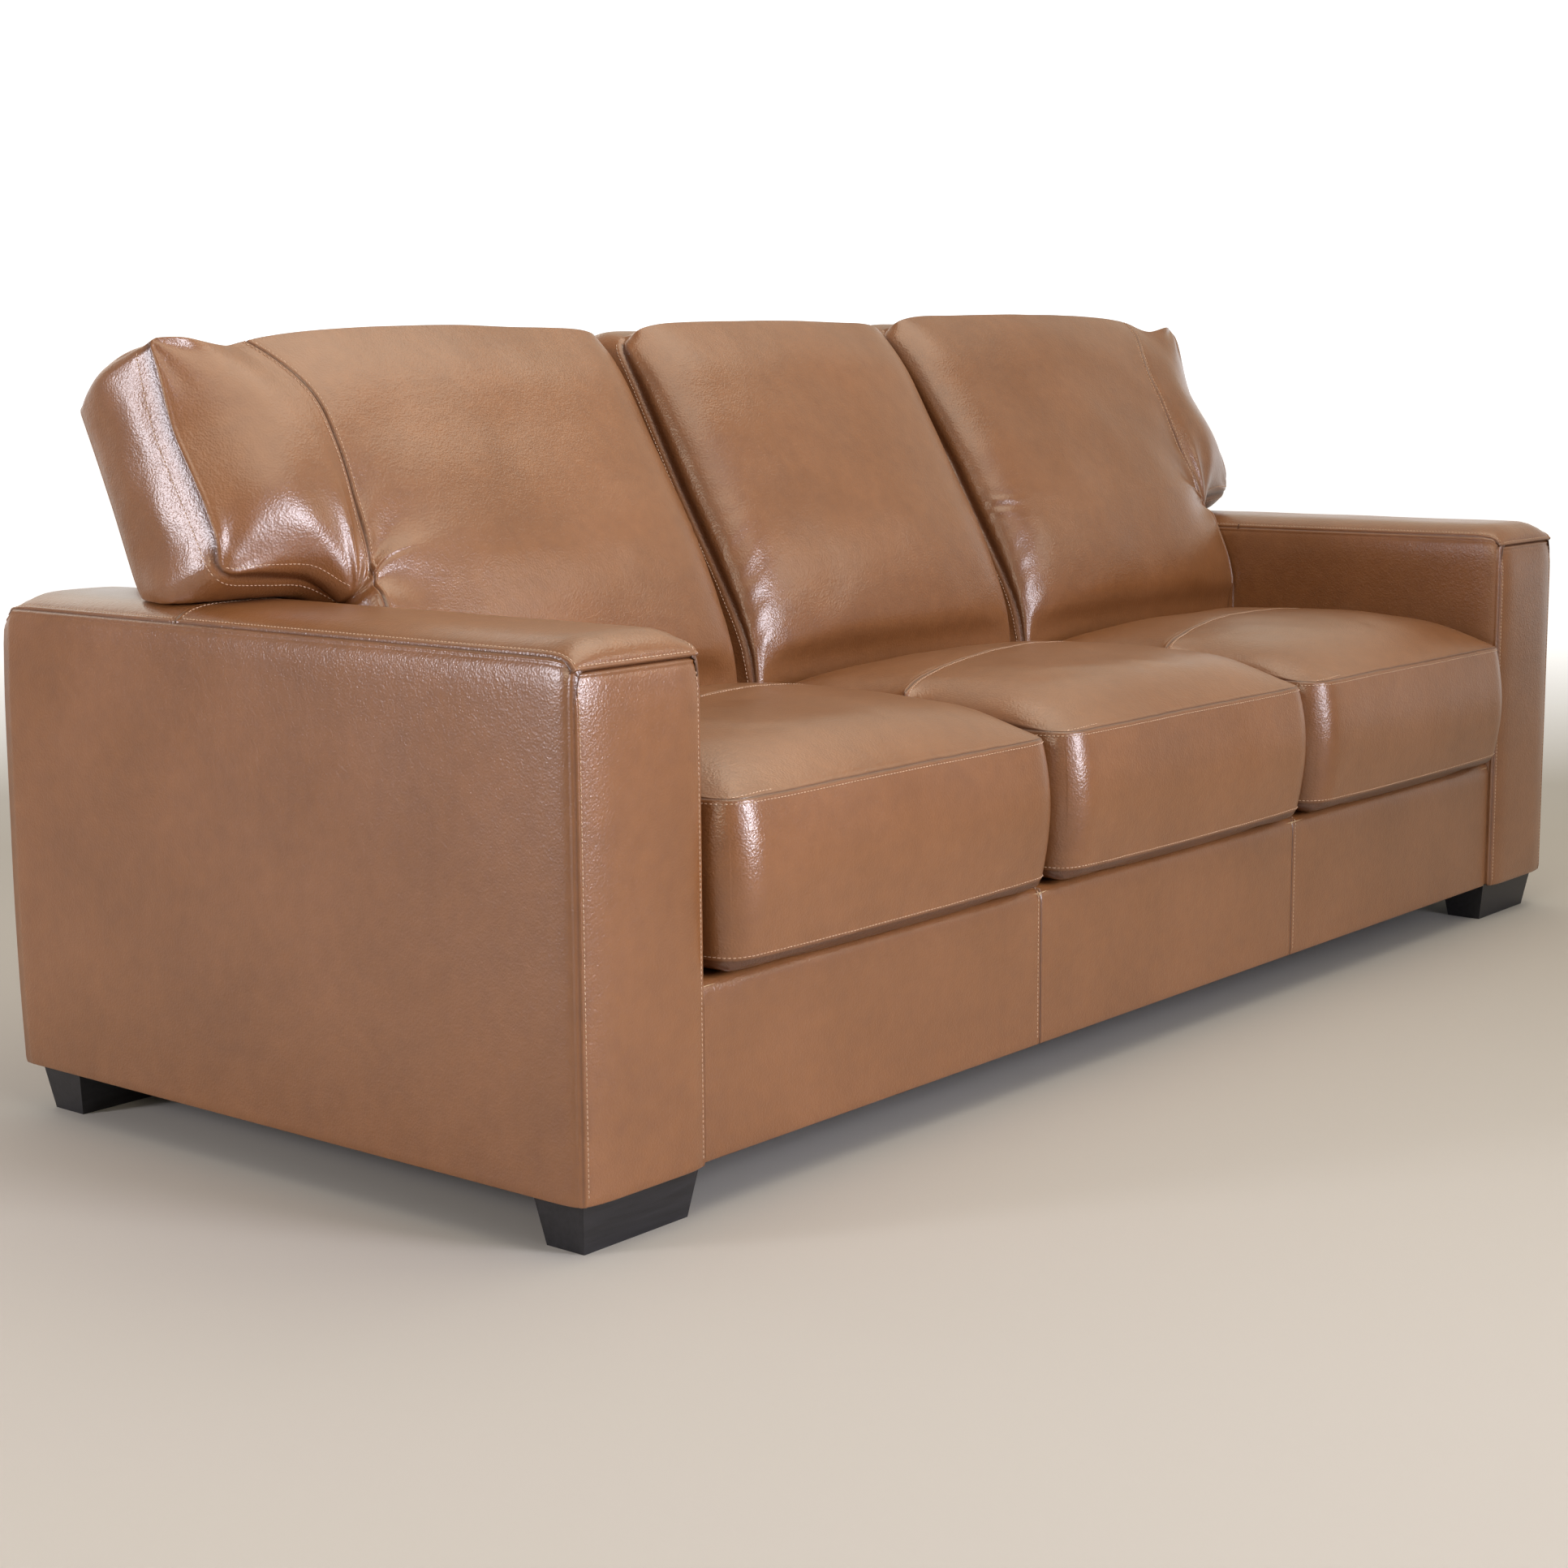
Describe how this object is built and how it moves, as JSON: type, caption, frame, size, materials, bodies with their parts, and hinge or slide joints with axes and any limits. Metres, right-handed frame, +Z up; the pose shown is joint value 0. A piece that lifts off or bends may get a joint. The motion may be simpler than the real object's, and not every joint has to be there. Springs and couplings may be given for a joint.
{
  "type": "three-seat sofa",
  "caption": "Leather sofa with broad padded arms, loose seat cushions, pillow backs whose outer wings lie over the arms, and short tapered wooden legs.",
  "frame": {"origin": "bottom centre of the bounding box, on the floor", "axes": "+X along the length, to the right of someone facing the sofa; the seat faces -Y; +Z up"},
  "size_m": [2.24, 0.9502, 0.93],
  "materials": {
    "leather": "semi-gloss caramel brown leather, slightly mottled",
    "leg_wood": "dark charcoal satin stain",
    "frame_wood": "raw plywood and pine",
    "board": "raw fibreboard",
    "foam": "open foam with wadding",
    "deck_cloth": "plain dark lining cloth",
    "webbing": "woven elastic",
    "spring_steel": "bright drawn wire",
    "zinc_steel": "zinc plated"
  },
  "bodies": {
    "sofa_frame": {"arm_bolts": "zinc_steel", "back_top_rail": "frame_wood", "back_uprights": "frame_wood", "back_webbing": "webbing", "base_front_left_panel": "leather", "base_front_middle_panel": "leather", "base_front_right_panel": "leather", "corner_blocks": "frame_wood", "dust_cover": "deck_cloth", "left_arm_end_boards": "frame_wood", "left_arm_front_panel": "leather", "left_arm_inside_panel": "leather", "left_arm_outside_panel": "leather", "left_arm_rails": "frame_wood", "left_arm_side_boards": "board", "left_arm_side_padding": "foam", "left_arm_top_front_panel": "leather", "left_arm_top_pad": "foam", "left_arm_top_rear_panel": "leather", "left_back_cover": "leather", "left_back_filling": "foam", "left_front_leg": "leg_wood", "left_rear_leg": "leg_wood", "leg_hanger_bolts": "zinc_steel", "leg_tee_nuts": "zinc_steel", "middle_back_cover": "leather", "middle_back_filling": "foam", "outside_back_board": "board", "outside_back_panel": "leather", "right_arm_end_boards": "frame_wood", "right_arm_front_panel": "leather", "right_arm_inside_panel": "leather", "right_arm_outside_panel": "leather", "right_arm_rails": "frame_wood", "right_arm_side_boards": "board", "right_arm_side_padding": "foam", "right_arm_top_front_panel": "leather", "right_arm_top_pad": "foam", "right_arm_top_rear_panel": "leather", "right_back_cover": "leather", "right_back_filling": "foam", "right_front_leg": "leg_wood", "right_rear_leg": "leg_wood", "seat_cross_rails": "frame_wood", "seat_deck_cloth": "deck_cloth", "seat_front_rail": "frame_wood", "seat_rear_rail": "frame_wood", "sinuous_springs": "spring_steel", "spring_clips": "spring_steel", "spring_rear_rails": "frame_wood"},
    "left_seat_cushion": {"left_seat_cover": "leather", "left_seat_underside": "deck_cloth", "left_seat_foam": "foam"},
    "middle_seat_cushion": {"middle_seat_cover": "leather", "middle_seat_underside": "deck_cloth", "middle_seat_foam": "foam"},
    "right_seat_cushion": {"right_seat_cover": "leather", "right_seat_underside": "deck_cloth", "right_seat_foam": "foam"}
  },
  "joints": [
    {"name": "left_seat_lift", "type": "slide", "parent": "sofa_frame", "child": "left_seat_cushion", "axis": [0, -0.5, 0.866], "range_m": [0, 0.6]},
    {"name": "middle_seat_lift", "type": "slide", "parent": "sofa_frame", "child": "middle_seat_cushion", "axis": [0, -0.5, 0.866], "range_m": [0, 0.6]},
    {"name": "right_seat_lift", "type": "slide", "parent": "sofa_frame", "child": "right_seat_cushion", "axis": [0, -0.5, 0.866], "range_m": [0, 0.6]}
  ]
}
